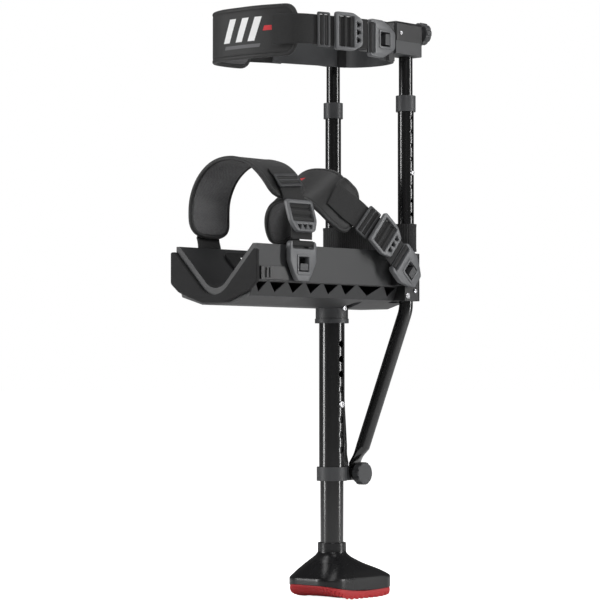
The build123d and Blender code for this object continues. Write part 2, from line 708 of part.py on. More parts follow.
def make_thigh():
    bore_r = upper_r + seat_gap
    near_half = [(44, -1, -2.2), (64, -1, -4.5), (82, -1, -12.5), (94, -1, -30.5)]
    far_half = [(94, 1, -30.5), (82, 1, -12.5), (64, 1, -4.5), (44, 1, 1), (20, 1, 10.5), (-6, 1, 20.5), (-32, 1, 28.5)]
    plate_path = by_arm(near_half) + [(98, 0)] + by_arm(far_half)
    parts["thigh_saddle"] = standing_band(plate_path, saddle_wall, saddle_bottom, saddle_top)

    arm = block(cap_rear, arm_front, -arm_outer_y, -arm_inner_y, arm_bottom, arm_top)
    arm = fillet(arm.edges().filter_by(Axis.Z).group_by(Axis.X)[-1], 6)
    arm += block(arm_rear, cap_rear, -arm_bar_y, -arm_inner_y - 7, arm_bottom, arm_top)
    arm += block(arm_rear, 20, -arm_bar_y, -arm_inner_y - 7, arm_top, arm_top + 9)
    arm -= upright_tube(upright_x, -upright_y, arm_bottom - 1, arm_top + 1, bore_r)
    parts["saddle_arm"] = arm

    cap = block(cap_rear, arm_front, -arm_outer_y, -arm_inner_y, arm_top, cap_top)
    cap = fillet(cap.edges().filter_by(Axis.Z) + cap.faces().sort_by(Axis.Z)[-1].edges(), 4)
    cap -= upright_tube(upright_x, -upright_y, arm_top - 1, upper_top + soft_gap, bore_r)
    bolt_start = upright_x + upper_r + 1.0
    cap -= rod((bolt_start - 0.5, saddle_knob_y, saddle_knob_z), (1, 0, 0), 20, bolt_r + seat_gap)
    parts["saddle_cap"] = cap
    parts["cap_rivet"] = rod((cap_rear + 10, -arm_outer_y, arm_top + 11), (0, -1, 0), 1.4, 2.6)

    left = block(60, arm_front, arm_inner_y, arm_outer_y, arm_bottom, cap_top)
    left = fillet(left.edges().filter_by(Axis.Z), 5)
    left -= upright_tube(upright_x, upright_y, arm_bottom - 1, upper_top + soft_gap, bore_r)
    parts["left_saddle_cap"] = left

    hub = 2.0
    knob_end = arm_front + soft_gap + hub + knob_length
    bolt = rod((bolt_start, saddle_knob_y, saddle_knob_z), (1, 0, 0), knob_end + 0.5 - bolt_start, bolt_r)
    bolt += rod((knob_end + 0.4, saddle_knob_y, saddle_knob_z), (1, 0, 0), 4.0, bolt_r * 1.6)
    parts["saddle_bolt"] = bolt
    start = (arm_front + soft_gap, saddle_knob_y, saddle_knob_z)
    parts["saddle_knob"] = fluted_knob(start, (1, 0, 0), hub, hub + knob_length, bolt_r)

    plate_clip = Pos(68.9, arm_inner_y - 11.2, arm_bottom + 7) * Rot(0, 0, -24) * Box(12, 3, 26)
    arm_tab = block(27, 39, -arm_bar_y, -arm_bar_y + 5, arm_bottom - 11, arm_bottom)
    parts["saddle_clips"] = Compound(children=[plate_clip, arm_tab])

    pad_low = thigh_strap_z - thigh_pad_height / 2
    pad_path = by_arm([
        (-62, 1, 42.5), (-98, 1, 50.5), (-130, 1, 45.5), (-145, 1, 17.5), (-145.5, 1, -17.5),
    ]) + [(-142, 0)] + by_arm([(-126, -1, -2.5)])
    parts["thigh_strap_pad"] = standing_band(pad_path, thigh_pad_thickness, pad_low, pad_low + thigh_pad_height)
    low, high = thigh_strap_z - webbing_width / 2, thigh_strap_z + webbing_width / 2
    anchor_path = by_arm([(-82, 1, 55.1), (-62, 1, 49.5), (-46, 1, 42), (-31, 1, 34.1), (-14, 1, 29.1)])
    parts["thigh_strap_anchor"] = standing_band(anchor_path, webbing_thickness, low - 4, high - 4)
    window_x, face_y = 6.0, -arm_bar_y
    hook_mid = face_y - hook_stand - hook_thickness / 2
    bar_x = window_x - hook_bar - webbing_end_gap
    run = by_arm([
        (-145, -1, -30.5), (-140.5, -1, -14.5), (-133, -1, -0.5), (-120, -1, 8.5), (-100, -1, 15), (-60, -1, 26),
    ]) + [(bar_x, hook_mid)]
    parts["thigh_strap_webbing"] = standing_band(run, webbing_thickness, low, high)
    hook_z = thigh_strap_z - 4
    plane = buckle_plane((window_x, face_y - hook_stand, hook_z), (-1, 0, 0), (0, -1, 0))
    parts["thigh_hook"] = plane * hook_solid()
    parts["thigh_peg"] = plane * peg_solid()
    slider_run = Vector(40, -10, 0).normalized()
    out = Vector(slider_run.Y, -slider_run.X, 0)
    origin = Vector(-60, -arm_inner_y - 26, thigh_strap_z) + out * (webbing_thickness / 2 + buckle_gap + 0.4)
    parts["thigh_slider"] = Plane(origin=origin, x_dir=-slider_run, z_dir=out) * slider_solid()
    keeper_run = Vector(40, -12.5, 0).normalized()
    out = Vector(keeper_run.Y, -keeper_run.X, 0)
    origin = Vector(-97, -arm_inner_y - 15.9, thigh_strap_z) + out * (webbing_thickness / 2 + buckle_gap + soft_gap)
    keeper_plane = Plane(origin=origin, x_dir=keeper_run, z_dir=out)
    parts["thigh_keeper"] = keeper_plane * keeper_solid()


make_foot()
make_leg()
make_clamp()
make_uprights()
make_platform()
make_calf_straps()
make_thigh()

for name, solids in (springs | calf_groups).items():
    parts[name] = solids[0] if len(solids) == 1 else Compound(children=solids)

os.makedirs("parts", exist_ok=True)
for name, solid in parts.items():
    export_step(solid, f"parts/{name}.step")
print(len(parts), "parts written")
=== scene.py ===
import bpy
import json
import math
from mathutils import Matrix, Vector


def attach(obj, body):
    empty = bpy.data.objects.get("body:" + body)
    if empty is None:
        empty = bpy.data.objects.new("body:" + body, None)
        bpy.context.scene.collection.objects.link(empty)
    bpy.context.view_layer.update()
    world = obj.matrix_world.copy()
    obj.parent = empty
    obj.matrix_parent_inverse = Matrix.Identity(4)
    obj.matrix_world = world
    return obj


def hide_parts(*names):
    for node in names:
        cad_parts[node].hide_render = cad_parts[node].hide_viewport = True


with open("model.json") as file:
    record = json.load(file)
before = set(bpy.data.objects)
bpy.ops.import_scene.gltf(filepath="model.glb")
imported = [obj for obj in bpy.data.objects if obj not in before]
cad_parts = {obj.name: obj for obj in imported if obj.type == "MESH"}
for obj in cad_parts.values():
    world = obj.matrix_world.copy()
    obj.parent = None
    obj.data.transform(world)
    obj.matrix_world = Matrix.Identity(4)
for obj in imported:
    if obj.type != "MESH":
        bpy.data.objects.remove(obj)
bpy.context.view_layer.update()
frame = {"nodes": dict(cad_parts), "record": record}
cadNodes = frame["nodes"]
mm = 0.001

# Camera, floor and lights
view = {
    "cameraPlace": (-2.4724, -2.1675, 0.2963), "heading": (0.7431, 0.6691), "pitchUp": 1.909, "lens": 144,
    "floorColour": (0.9, 0.9, 0.9), "floorGlow": 0.95, "backdrop": 1.0, "fillLight": 0.11,
}


def addCamera():
    bpy.ops.object.camera_add(location=view["cameraPlace"])
    camera = bpy.context.object
    pitch = math.radians(view["pitchUp"])
    aim = Vector((*view["heading"], 0)) * math.cos(pitch) + Vector((0, 0, math.sin(pitch)))
    camera.rotation_euler = aim.to_track_quat("-Z", "Y").to_euler()
    camera.data.lens = view["lens"]
    camera.data.sensor_width = 36
    bpy.context.scene.camera = camera


def addLight(name, place, target, size, power, colour=(1, 1, 1)):
    bpy.ops.object.light_add(type="AREA", location=place)
    light = bpy.context.object
    light.name = name
    light.rotation_euler = (Vector(target) - Vector(place)).to_track_quat("-Z", "Y").to_euler()
    light.data.shape = "RECTANGLE"
    light.data.size, light.data.size_y = size
    light.data.energy = power
    light.data.color = colour


addCamera()
addLight("keyLight", (-1.8, -2.4, 2.6), (0, 0, 0.4), (0.9, 1.4), 52)
addLight("leftStrip", (-2.3, 1.6, 0.9), (0, 0, 0.45), (0.35, 2.2), 46)
addLight("rightStrip", (1.5, -2.2, 0.9), (0, 0, 0.45), (0.3, 2.2), 40)
addLight("topLight", (0.2, 0.2, 3.0), (0, 0, 0.4), (1.8, 1.8), 34)


# --- Material helpers ---
def addNode(made, kind, links=None, **values):
    one = made.node_tree.nodes.new("ShaderNode" + kind)
    for key, value in values.items():
        if key in one.inputs:
            one.inputs[key].default_value = value
        else:
            setattr(one, key, value)
    for key, source in (links or {}).items():
        made.node_tree.links.new(source, one.inputs[key])
    return one


def mathOn(made, operation, first, second=0.0):
    one = made.node_tree.nodes.new("ShaderNodeMath")
    one.operation = operation
    for i, value in enumerate((first, second)):
        if isinstance(value, (int, float)):
            one.inputs[i].default_value = value
        else:
            made.node_tree.links.new(value, one.inputs[i])
    return one.outputs[0]


def startMaterial(name, colour, rough, **values):
    made = bpy.data.materials.new(name)
    made.use_nodes = True
    shader = made.node_tree.nodes["Principled BSDF"]
    shader.inputs["Base Color"].default_value = (*colour, 1)
    shader.inputs["Roughness"].default_value = rough
    for key, value in values.items():
        shader.inputs[key.replace("_", " ")].default_value = value
    return made, shader


def joinTo(made, source, shader, socket):
    made.node_tree.links.new(source, shader.inputs[socket])


def patchColour(made, shader, mask, dark, light):
    mix = addNode(made, "Mix", data_type="RGBA")
    mix.inputs["A"].default_value = (*dark, 1)
    mix.inputs["B"].default_value = (*light, 1)
    for socket in mix.inputs:
        if socket.name == "A" and socket.type == "RGBA":
            socket.default_value = (*dark, 1)
        if socket.name == "B" and socket.type == "RGBA":
            socket.default_value = (*light, 1)
    made.node_tree.links.new(mask, mix.inputs[0])
    out = [s for s in mix.outputs if s.type == "RGBA"][0]
    if shader:
        joinTo(made, out, shader, "Base Color")
    return out


def objectPlace(made, stretch=(1, 1, 1)):
    where = addNode(made, "TexCoord").outputs["Object"]
    return addNode(made, "Mapping", {"Vector": where}, Scale=stretch).outputs[0]


def mouldedPlastic(name, colour, rough=0.5, grain=0.12, lift=1.5, edge=0.0006):
    made, shader = startMaterial(name, colour, rough)
    where = objectPlace(made)
    broad = addNode(made, "TexNoise", {"Vector": where}, Scale=18.0, Detail=3.0, Roughness=0.6)
    paler = [min(1, c * lift) for c in colour]
    patchColour(made, shader, broad.outputs[0], [c * 0.82 for c in colour], paler)
    fine = addNode(made, "TexNoise", {"Vector": where}, Scale=1400.0, Detail=2.0)
    rub = addNode(made, "MapRange", {"Value": broad.outputs[0]})
    rub.inputs["To Min"].default_value = rough - 0.08
    rub.inputs["To Max"].default_value = rough + 0.08
    joinTo(made, rub.outputs[0], shader, "Roughness")
    soft = addNode(made, "Bevel", Radius=edge, samples=4)
    links = {"Height": fine.outputs[0], "Normal": soft.outputs[0]}
    bump = addNode(made, "Bump", links, Strength=grain, Distance=0.0003)
    joinTo(made, bump.outputs[0], shader, "Normal")
    return made


def enamel(name, colour, rough):
    made, shader = startMaterial(name, colour, rough, Coat_Weight=0.5, Coat_Roughness=0.12)
    where = objectPlace(made, (1, 1, 0.06))
    drawn = addNode(made, "TexNoise", {"Vector": where}, Scale=260.0, Detail=4.0)
    rub = addNode(made, "MapRange", {"Value": drawn.outputs[0]})
    rub.inputs["To Min"].default_value = rough - 0.07
    rub.inputs["To Max"].default_value = rough + 0.1
    joinTo(made, rub.outputs[0], shader, "Roughness")
    peel = addNode(made, "TexNoise", {"Vector": objectPlace(made)}, Scale=650.0, Detail=1.0)
    soft = addNode(made, "Bevel", Radius=0.0005, samples=4)
    links = {"Height": peel.outputs[0], "Normal": soft.outputs[0]}
    bump = addNode(made, "Bump", links, Strength=0.05, Distance=0.0002)
    joinTo(made, bump.outputs[0], shader, "Normal")
    return made


def metal(name, colour, rough):
    made, shader = startMaterial(name, colour, rough, Metallic=1.0)
    drawn = addNode(made, "TexNoise", {"Vector": objectPlace(made, (1, 9, 1))}, Scale=500.0, Detail=3.0)
    rub = addNode(made, "MapRange", {"Value": drawn.outputs[0]})
    rub.inputs["To Min"].default_value = rough - 0.06
    rub.inputs["To Max"].default_value = rough + 0.12
    joinTo(made, rub.outputs[0], shader, "Roughness")
    soft = addNode(made, "Bevel", Radius=0.0003, samples=4)
    joinTo(made, soft.outputs[0], shader, "Normal")
    return made


def foamSkin(name, colour, rough=0.85):
    made, shader = startMaterial(name, colour, rough)
    where = objectPlace(made)
    cells = addNode(made, "TexVoronoi", {"Vector": where}, Scale=900.0)
    broad = addNode(made, "TexNoise", {"Vector": where}, Scale=35.0, Detail=4.0)
    patchColour(made, shader, broad.outputs[0], [c * 0.7 for c in colour], [c * 1.7 for c in colour])
    bump = addNode(made, "Bump", {"Height": cells.outputs["Distance"]}, Strength=0.35, Distance=0.0005)
    joinTo(made, bump.outputs[0], shader, "Normal")
    return made


def mapParts(made):
    where = addNode(made, "UVMap").outputs[0]
    parts = addNode(made, "SeparateXYZ", {"Vector": where})
    return parts.outputs[0], parts.outputs[1]


def weaveHeight(made, along, across, alongPitch, acrossPitch):
    # plain weave: the two yarns cross over and under each other
    a = mathOn(made, "SINE", mathOn(made, "MULTIPLY", along, 2 * math.pi / alongPitch))
    b = mathOn(made, "SINE", mathOn(made, "MULTIPLY", across, 2 * math.pi / acrossPitch))
    return mathOn(made, "MULTIPLY", a, b)


def wovenCloth(name, dark, light, alongPitch, acrossPitch, depth=0.0004, strength=0.5, rough=0.8, fuzz=0.35):
    made, shader = startMaterial(name, dark, rough, Sheen_Weight=0.06, Sheen_Roughness=0.6)
    along, across = mapParts(made)
    height = weaveHeight(made, along, across, alongPitch, acrossPitch)
    fluff = addNode(made, "TexNoise", {"Vector": objectPlace(made)}, Scale=520.0, Detail=3.0, Roughness=0.7)
    # colour and bump share one mask: the weave's height gives painted shade in its dips and a painted
    # highlight on the raised yarns, and the fluff noise adds random fuzz tone
    mixed = mathOn(made, "ADD", mathOn(made, "MULTIPLY", height, 0.5 - fuzz / 2), fluff.outputs[0])
    patchColour(made, shader, mathOn(made, "MULTIPLY", mixed, 0.9), dark, light)
    bump = addNode(made, "Bump", {"Height": mixed}, Strength=strength, Distance=depth)
    joinTo(made, bump.outputs[0], shader, "Normal")
    return made


def stripe(made, along, across, middle, size, slant=0.0):
    # 1 inside a slanted bar of the given length and height, 0 outside
    leaning = mathOn(made, "ADD", along, mathOn(made, "MULTIPLY", across, -slant))
    offLength = mathOn(made, "ABSOLUTE", mathOn(made, "SUBTRACT", leaning, middle[0]))
    inLength = mathOn(made, "LESS_THAN", offLength, size[0] / 2)
    offHeight = mathOn(made, "ABSOLUTE", mathOn(made, "SUBTRACT", across, middle[1]))
    inHeight = mathOn(made, "LESS_THAN", offHeight, size[1] / 2)
    return mathOn(made, "MULTIPLY", inLength, inHeight)


def printedCloth(name, bars):
    made = wovenCloth(
        name, (0.0018, 0.0018, 0.002), (0.006, 0.006, 0.0065), 0.0013, 0.0013,
        strength=0.25, rough=0.62, fuzz=0.5,
    )
    shader = made.node_tree.nodes["Principled BSDF"]
    colour = shader.inputs["Base Color"].links[0].from_socket
    along, across = mapParts(made)
    for middle, size, slant, ink in bars:
        mask = stripe(made, along, across, middle, size, slant)
        mix = addNode(made, "Mix", data_type="RGBA")
        ends = [s for s in mix.inputs if s.type == "RGBA"]
        ends[1].default_value = (*ink, 1)
        made.node_tree.links.new(mask, mix.inputs[0])
        made.node_tree.links.new(colour, ends[0])
        colour = [s for s in mix.outputs if s.type == "RGBA"][0]
    joinTo(made, colour, shader, "Base Color")
    return made


white, red, grey = (0.75, 0.75, 0.75), (0.5, 0.012, 0.02), (0.09, 0.09, 0.095)
finishes = {
    "tube_enamel": enamel("blackEnamel", (0.0025, 0.0025, 0.0028), 0.22),
    "platform_plastic": mouldedPlastic("platformPlastic", (0.017, 0.0175, 0.0185), 0.5),
    "frame_plastic": mouldedPlastic("framePlastic", (0.0045, 0.0045, 0.005), 0.4),
    "grey_plastic": mouldedPlastic("greyPlastic", (0.034, 0.035, 0.037), 0.48),
    "buckle_plastic": mouldedPlastic("bucklePlastic", (0.085, 0.087, 0.091), 0.42, grain=0.08),
    "sleeve_fabric": None,
    "foot_plastic": mouldedPlastic("footPlastic", (0.004, 0.004, 0.0045), 0.28, grain=0.05),
    "tread_rubber": mouldedPlastic("treadRubber", (0.48, 0.022, 0.026), 0.6, grain=0.2, lift=1.1),
    "steel": metal("brightSteel", (0.75, 0.75, 0.77), 0.22),
    "spring_steel": metal("springSteel", (0.45, 0.45, 0.47), 0.35),
}
foamBlack = foamSkin("foamBlack", (0.006, 0.006, 0.0065))
webbingCloth = wovenCloth(
    "webbingCloth", (0.002, 0.002, 0.0022), (0.013, 0.013, 0.0135), 0.0022, 0.0016, strength=0.8,
)
loopCloth = wovenCloth(
    "loopCloth", (0.003, 0.003, 0.0035), (0.2, 0.2, 0.205), 0.0036, 0.003,
    depth=0.0008, strength=0.9, fuzz=0.55,
)
bindingCloth = wovenCloth(
    "bindingCloth", (0.0015, 0.0015, 0.0016), (0.005, 0.005, 0.0055), 0.0012, 0.0012, rough=0.55,
)
sleeveCloth = wovenCloth(
    "sleeveCloth", (0.002, 0.002, 0.0022), (0.016, 0.016, 0.017), 0.0042, 0.0014, depth=0.001, strength=0.9,
)
finishes["sleeve_fabric"] = sleeveCloth
calfPrint = [
    ((0.075, 0.008), (0.012, 0.030), 0.35, white), ((0.092, 0.008), (0.005, 0.030), 0.35, white),
    ((0.112, 0.012), (0.024, 0.006), 0.35, red), ((0.104, -0.016), (0.034, 0.005), 0.35, grey),
]
thighPrint = [
    ((0.120, 0.004), (0.011, 0.034), 0.35, white), ((0.142, 0.004), (0.011, 0.034), 0.35, white),
    ((0.163, 0.004), (0.011, 0.034), 0.35, white), ((0.186, 0.004), (0.018, 0.007), 0.35, red),
    ((0.150, -0.020), (0.060, 0.005), 0.35, grey),
]
calfOuter = printedCloth("calfOuterCloth", calfPrint)
thighOuter = printedCloth("thighOuterCloth", thighPrint)
print("materials made")


# --- Shaping helpers ---
def clearSelection():
    if bpy.context.object and bpy.context.object.mode != "OBJECT":
        bpy.ops.object.mode_set(mode="OBJECT")
    bpy.ops.object.select_all(action="DESELECT")


def tidyMesh(made, distance=0.00002):
    clearSelection()
    made.select_set(True)
    bpy.context.view_layer.objects.active = made
    bpy.ops.object.mode_set(mode="EDIT")
    bpy.ops.mesh.select_all(action="SELECT")
    bpy.ops.mesh.remove_doubles(threshold=distance)
    bpy.ops.mesh.normals_make_consistent(inside=False)
    bpy.ops.object.mode_set(mode="OBJECT")


def applyAll(made):
    clearSelection()
    made.select_set(True)
    bpy.context.view_layer.objects.active = made
    for modifier in list(made.modifiers):
        bpy.ops.object.modifier_apply(modifier=modifier.name)


def smoothShade(made, angle=35):
    clearSelection()
    made.select_set(True)
    bpy.context.view_layer.objects.active = made
    bpy.ops.object.shade_smooth_by_angle(angle=math.radians(angle))


def shapedGrid(name, alongCount, acrossCount, place, mapSize=(1, 1)):
    clearSelection()
    bpy.ops.mesh.primitive_grid_add(x_subdivisions=alongCount, y_subdivisions=acrossCount, size=1)
    made = bpy.context.object
    made.name = name
    for corner in made.data.vertices:
        corner.co = place(corner.co.x + 0.5, corner.co.y + 0.5)
    for corner in made.data.uv_layers.active.data:
        corner.uv = (corner.uv.x * mapSize[0], (corner.uv.y - 0.5) * mapSize[1])
    return made


def dress(made, finish, body, slotName, *cadNames, more=()):
    made.data.materials.clear()
    for one in (finish, *more):
        made.data.materials.append(one)
    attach(made, body)
    if cadNames:
        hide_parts(*cadNames)
    return made


def smoothBetween(a, b, c, d, f):
    # the curve through b and c, with a before them and d after
    bend, twist = 2 * a - 5 * b + 4 * c - d, 3 * b - a - 3 * c + d
    return 0.5 * (2 * b + (c - a) * f + bend * f * f + twist * f ** 3)


class Path:
    # a smooth run through stations of (x, y, z, acrossX, acrossY, acrossZ, width), all in millimetres
    def __init__(self, stations, samples=240):
        self.stations = [[c * mm for c in s[:3]] + list(s[3:6]) + [s[6] * mm] for s in stations]
        self.samples = [self.raw(i / samples) for i in range(samples + 1)]
        self.reach = [0.0]
        for one, two in zip(self.samples[:-1], self.samples[1:]):
            self.reach.append(self.reach[-1] + (Vector(two[:3]) - Vector(one[:3])).length)
        self.length = self.reach[-1]

    def raw(self, t):
        last = len(self.stations) - 1
        place = min(t * last, last - 1e-9)
        i = int(place)
        f = place - i
        rows = [self.stations[k] for k in (max(i - 1, 0), i, i + 1, min(i + 2, last))]
        return [
            smoothBetween(a, b, c, d, f)
            for a, b, c, d in zip(*rows)
        ]

    def at(self, share):
        # centre, across, out and width at a share of the length
        target = min(max(share, 0), 1) * self.length
        low, high = 0, len(self.reach) - 1
        while high - low > 1:
            middle = (low + high) // 2
            if self.reach[middle] <= target:
                low = middle
            else:
                high = middle
        span = self.reach[high] - self.reach[low] or 1
        f = (target - self.reach[low]) / span
        row = [a + (b - a) * f for a, b in zip(self.samples[low], self.samples[high])]
        one, two = self.samples[max(low - 1, 0)], self.samples[min(high + 1, len(self.samples) - 1)]
        run = (Vector(two[:3]) - Vector(one[:3])).normalized()
        across = Vector(row[3:6])
        across = (across - run * across.dot(run)).normalized()
        return Vector(row[:3]), across, run.cross(across).normalized(), row[6]


def endShare(distance, length, radius):
    # how much narrower a strip is near a rounded end
    gap = min(distance, length - distance)
    if gap >= radius:
        return 0.0
    return radius - math.sqrt(max(radius ** 2 - (radius - gap) ** 2, 0))


def padPoint(path, share, side, radius, lift=0.0, inset=0.0):
    # side runs from -1 to 1 across the pad
    usable = path.length - 2 * inset
    distance = inset + share * usable
    centre, across, out, width = path.at(distance / path.length)
    half = width / 2 - inset - endShare(distance - inset, usable, radius)
    return centre + across * half * side + out * lift, across, out


def makePad(name, stations, thickness, radius, outer, body, cad, swell=2.0, loopStart=0.0):
    path = Path(stations)
    width = max(s[6] for s in stations) * mm
    edge = 2.2 * mm
    pad = shapedGrid(
        name, int(path.length / (5 * mm)), int(width / (5 * mm)),
        lambda u, v: padPoint(path, u, 2 * v - 1, radius * mm, inset=edge)[0], (path.length, width),
    )
    solid = pad.modifiers.new("thick", "SOLIDIFY")
    solid.thickness = (thickness - 1.6) * mm
    solid.offset = 0
    solid.material_offset = 1
    solid.material_offset_rim = 2
    dress(pad, outer, body, "strap_foam", cad, more=(loopCloth, bindingCloth))
    applyAll(pad)
    puff(pad, swell)
    finer = pad.modifiers.new("smooth", "SUBSURF")
    finer.levels = finer.render_levels = 1
    applyAll(pad)
    smoothShade(pad, 60)

    # bound edge: a folded tape right round the pad
    rim = []
    count = int(path.length / (4 * mm))
    sideCount = 10
    for i in range(count + 1):
        rim.append((i / count, 1.0))
    for i in range(1, sideCount):
        rim.append((1.0, 1 - 2 * i / sideCount))
    for i in range(count, -1, -1):
        rim.append((i / count, -1.0))
    for i in range(1, sideCount):
        rim.append((0.0, -1 + 2 * i / sideCount))
    rows = []
    centres = [padPoint(path, u, s, radius * mm, inset=edge) for u, s in rim]
    for i, (point, across, out) in enumerate(centres):
        ahead = centres[(i + 1) % len(centres)][0] - centres[i - 1][0]
        outward = ahead.cross(out).normalized()
        rows.append((point, outward, out))
    round_ = 12
    half = thickness * mm / 2

    def tape(u, v):
        point, outward, out = rows[round(u * len(rows)) % len(rows)]
        turn = 2 * math.pi * v
        flat = math.copysign(abs(math.cos(turn)) ** 0.8, math.cos(turn))
        return point + outward * (flat * 3.4 * mm - 0.6 * mm) + out * math.sin(turn) * half * 0.93

    binding = shapedGrid(name + "Binding", len(rows), round_, tape, (2 * path.length, 0.018))
    tidyMesh(binding)
    finer = binding.modifiers.new("smooth", "SUBSURF")
    finer.levels = finer.render_levels = 1
    applyAll(binding)
    smoothShade(binding, 60)
    dress(binding, bindingCloth, body, "strap_foam")
    return path


def puff(made, most):
    # inflate the cover a little while its rim is held, then limit how far any point has moved
    start = [v.co.copy() for v in made.data.vertices]
    rim = made.vertex_groups.new(name="held")
    edges = {}
    for face in made.data.polygons:
        if face.material_index == 2:
            for index in face.vertices:
                edges[index] = True
    rim.add(list(edges), 1.0, "REPLACE")
    cloth = made.modifiers.new("cloth", "CLOTH")
    cloth.settings.vertex_group_mass = "held"
    cloth.settings.use_pressure = True
    cloth.settings.uniform_pressure_force = 6
    cloth.settings.tension_stiffness = 12
    cloth.settings.bending_stiffness = 1.5
    cloth.settings.effector_weights.gravity = 0
    cloth.point_cache.frame_end = 20
    for moment in range(1, 21):
        bpy.context.scene.frame_set(moment)
    clearSelection()
    made.select_set(True)
    bpy.context.view_layer.objects.active = made
    bpy.ops.object.modifier_apply(modifier="cloth")
    for corner, first in zip(made.data.vertices, start):
        moved = corner.co - first
        if moved.length > most * mm:
            corner.co = first + moved.normalized() * most * mm
    made.vertex_groups.clear()
    bpy.context.scene.frame_set(1)


def makeWebbing(name, stations, thickness, body, cad=(), finish=None, wrinkle=0.0, slotName="webbing"):
    path = Path(stations)
    width = stations[0][6] * mm

    def place(u, v):
        centre, across, out, wide = path.at(u)
        lift = wrinkle * mm * math.sin(u * path.length / mm * 0.9) if wrinkle else 0
        return centre + across * wide * (v - 0.5) + out * lift

    strap = shapedGrid(name, max(8, int(path.length / (2 * mm))), 10, place, (path.length, width))
    solid = strap.modifiers.new("thick", "SOLIDIFY")
    solid.thickness = thickness * mm
    solid.offset = 0
    edge = strap.modifiers.new("edge", "BEVEL")
    edge.width = thickness * 0.3 * mm
    edge.segments = 2
    edge.limit_method = "ANGLE"
    dress(strap, finish or webbingCloth, body, slotName, *cad)
    applyAll(strap)
    smoothShade(strap, 40)
    return strap


# --- Straps: their paths are the CAD's, in millimetres ---
level = (1, 0, 0)
upright = (0, 0, 1)
lean = (0.8, 0, 0.6)
tilt = (0.667, 0, 0.745)
wall = 73.4
straps = {
    "rear": {
        "pad": [
            (-162, 73.5, 487, *level, 70), (-162, 77, 512, *level, 73), (-162, 74.5, 540, *level, 73),
            (-162, 60, 566, *level, 73), (-162, 36, 583, *level, 73), (-160, 8, 588, *level, 73),
            (-158, -20, 582, *level, 73), (-156, -38, 570, *level, 73), (-154, -52, 553, *level, 70),
            (-152, -61, 535, *level, 68),
        ],
        "far": [(-166, wall, 446, *level, 40), (-166, wall, 473, *level, 40)],
        "near": [
            (-151, -73, 515, *level, 40), (-150, -78.5, 497, *level, 40), (-150, -79, 479.6, *level, 40),
        ],
        "keeperOn": 1, "hookAt": (-150, -75, 447), "pull": (0, 0, 1), "barAt": (-150, -79, 474.4),
        "sliderAt": (-150.5, -75, 508.5), "sliderRun": (0, -6, -19),
    },
    "front": {
        "pad": [
            (-4, 75, 493, *lean, 66), (-12, 76, 508, *lean, 72), (-24, 73, 527, *lean, 73),
            (-37, 60, 544, *lean, 73), (-49, 38, 556, *lean, 73), (-60, 6, 560, *lean, 73),
            (-68, -36, 556, 0.83, 0, 0.56, 73), (-62, -53, 544, 0.83, 0, 0.56, 73),
            (-42, -59, 529, *lean, 70), (-23, -62, 519, 0.76, 0, 0.65, 68),
        ],
        "far": [(22, wall, 446, *lean, 40), (6, wall, 470, *lean, 40)],
        "near": [
            (-12, -73, 508, *tilt, 40), (8.1, -85.5, 488.8, *tilt, 40), (32.7, -89, 466.8, *tilt, 40),
        ],
        "keeperOn": 3, "hookAt": (57, -85, 445), "pull": (-0.745, 0, 0.667), "barAt": (36.6, -89, 463.3),
        "sliderAt": (8.1, -86.1, 488.8), "sliderRun": (24.6, -3.5, -22),
    },
}


def offsetStations(stations, distance, width):
    centres = [Vector(row[:3]) for row in stations]
    moved = []
    for i, row in enumerate(stations):
        run = centres[min(i + 1, len(centres) - 1)] - centres[max(i - 1, 0)]
        out = run.cross(Vector(row[3:6])).normalized()
        moved.append((*(centres[i] + out * distance), *row[3:6], width))
    return moved


# --- Flat moulded parts: a filled outline with rounded edges ---
def roundCorners(points, radius, steps=4):
    made = []
    for i, corner in enumerate(points):
        corner = Vector(corner)
        before = (Vector(points[i - 1]) - corner)
        after = (Vector(points[(i + 1) % len(points)]) - corner)
        reach = min(radius, before.length * 0.45, after.length * 0.45)
        one, two = corner + before.normalized() * reach, corner + after.normalized() * reach
        for step in range(steps + 1):
            f = step / steps
            made.append(one * (1 - f) ** 2 + corner * 2 * f * (1 - f) + two * f ** 2)
    return made


def flatPart(name, loops, thickness, edge, origin, xDir, zDir):
    clearSelection()
    bpy.ops.curve.primitive_bezier_curve_add()
    made = bpy.context.object
    made.name = name
    line = made.data
    line.splines.clear()
    line.dimensions = "2D"
    line.fill_mode = "BOTH"
    for loop in loops:
        spline = line.splines.new("POLY")
        spline.points.add(len(loop) - 1)
        for point, place in zip(spline.points, loop):
            point.co = (place[0] * mm, place[1] * mm, 0, 1)
        spline.use_cyclic_u = True
    line.offset = -edge * mm
    line.bevel_depth = edge * mm
    line.bevel_resolution = 2
    line.extrude = (thickness / 2 - edge) * mm
    bpy.ops.object.convert(target="MESH")
    made = bpy.context.object
    z = Vector(zDir).normalized()
    x = Vector(xDir)
    x = (x - z * x.dot(z)).normalized()
    turn = Matrix((x, z.cross(x), z)).transposed().to_4x4()
    middle = Vector(origin) * mm + z * thickness / 2 * mm
    made.data.transform(Matrix.Translation(middle) @ turn)
    made.matrix_world = Matrix.Identity(4)
    tidyMesh(made)
    smoothShade(made, 30)
    return made


def joinInto(made, others):
    clearSelection()
    for one in others:
        one.select_set(True)
    made.select_set(True)
    bpy.context.view_layer.objects.active = made
    bpy.ops.object.join()
    return made


def box2(x0, x1, y0, y1):
    return [(x0, y0), (x1, y0), (x1, y1), (x0, y1)]


def makeBar(middle, across, radius, length, vertices):
    clearSelection()
    bpy.ops.mesh.primitive_cylinder_add(
        vertices=vertices, radius=radius * mm, depth=length * mm, location=middle * mm,
        rotation=across.to_track_quat("Z", "Y").to_euler(),
    )
    bar = bpy.context.object
    bpy.ops.object.transform_apply(location=True, rotation=True, scale=True)
    smoothShade(bar, 30)
    return bar


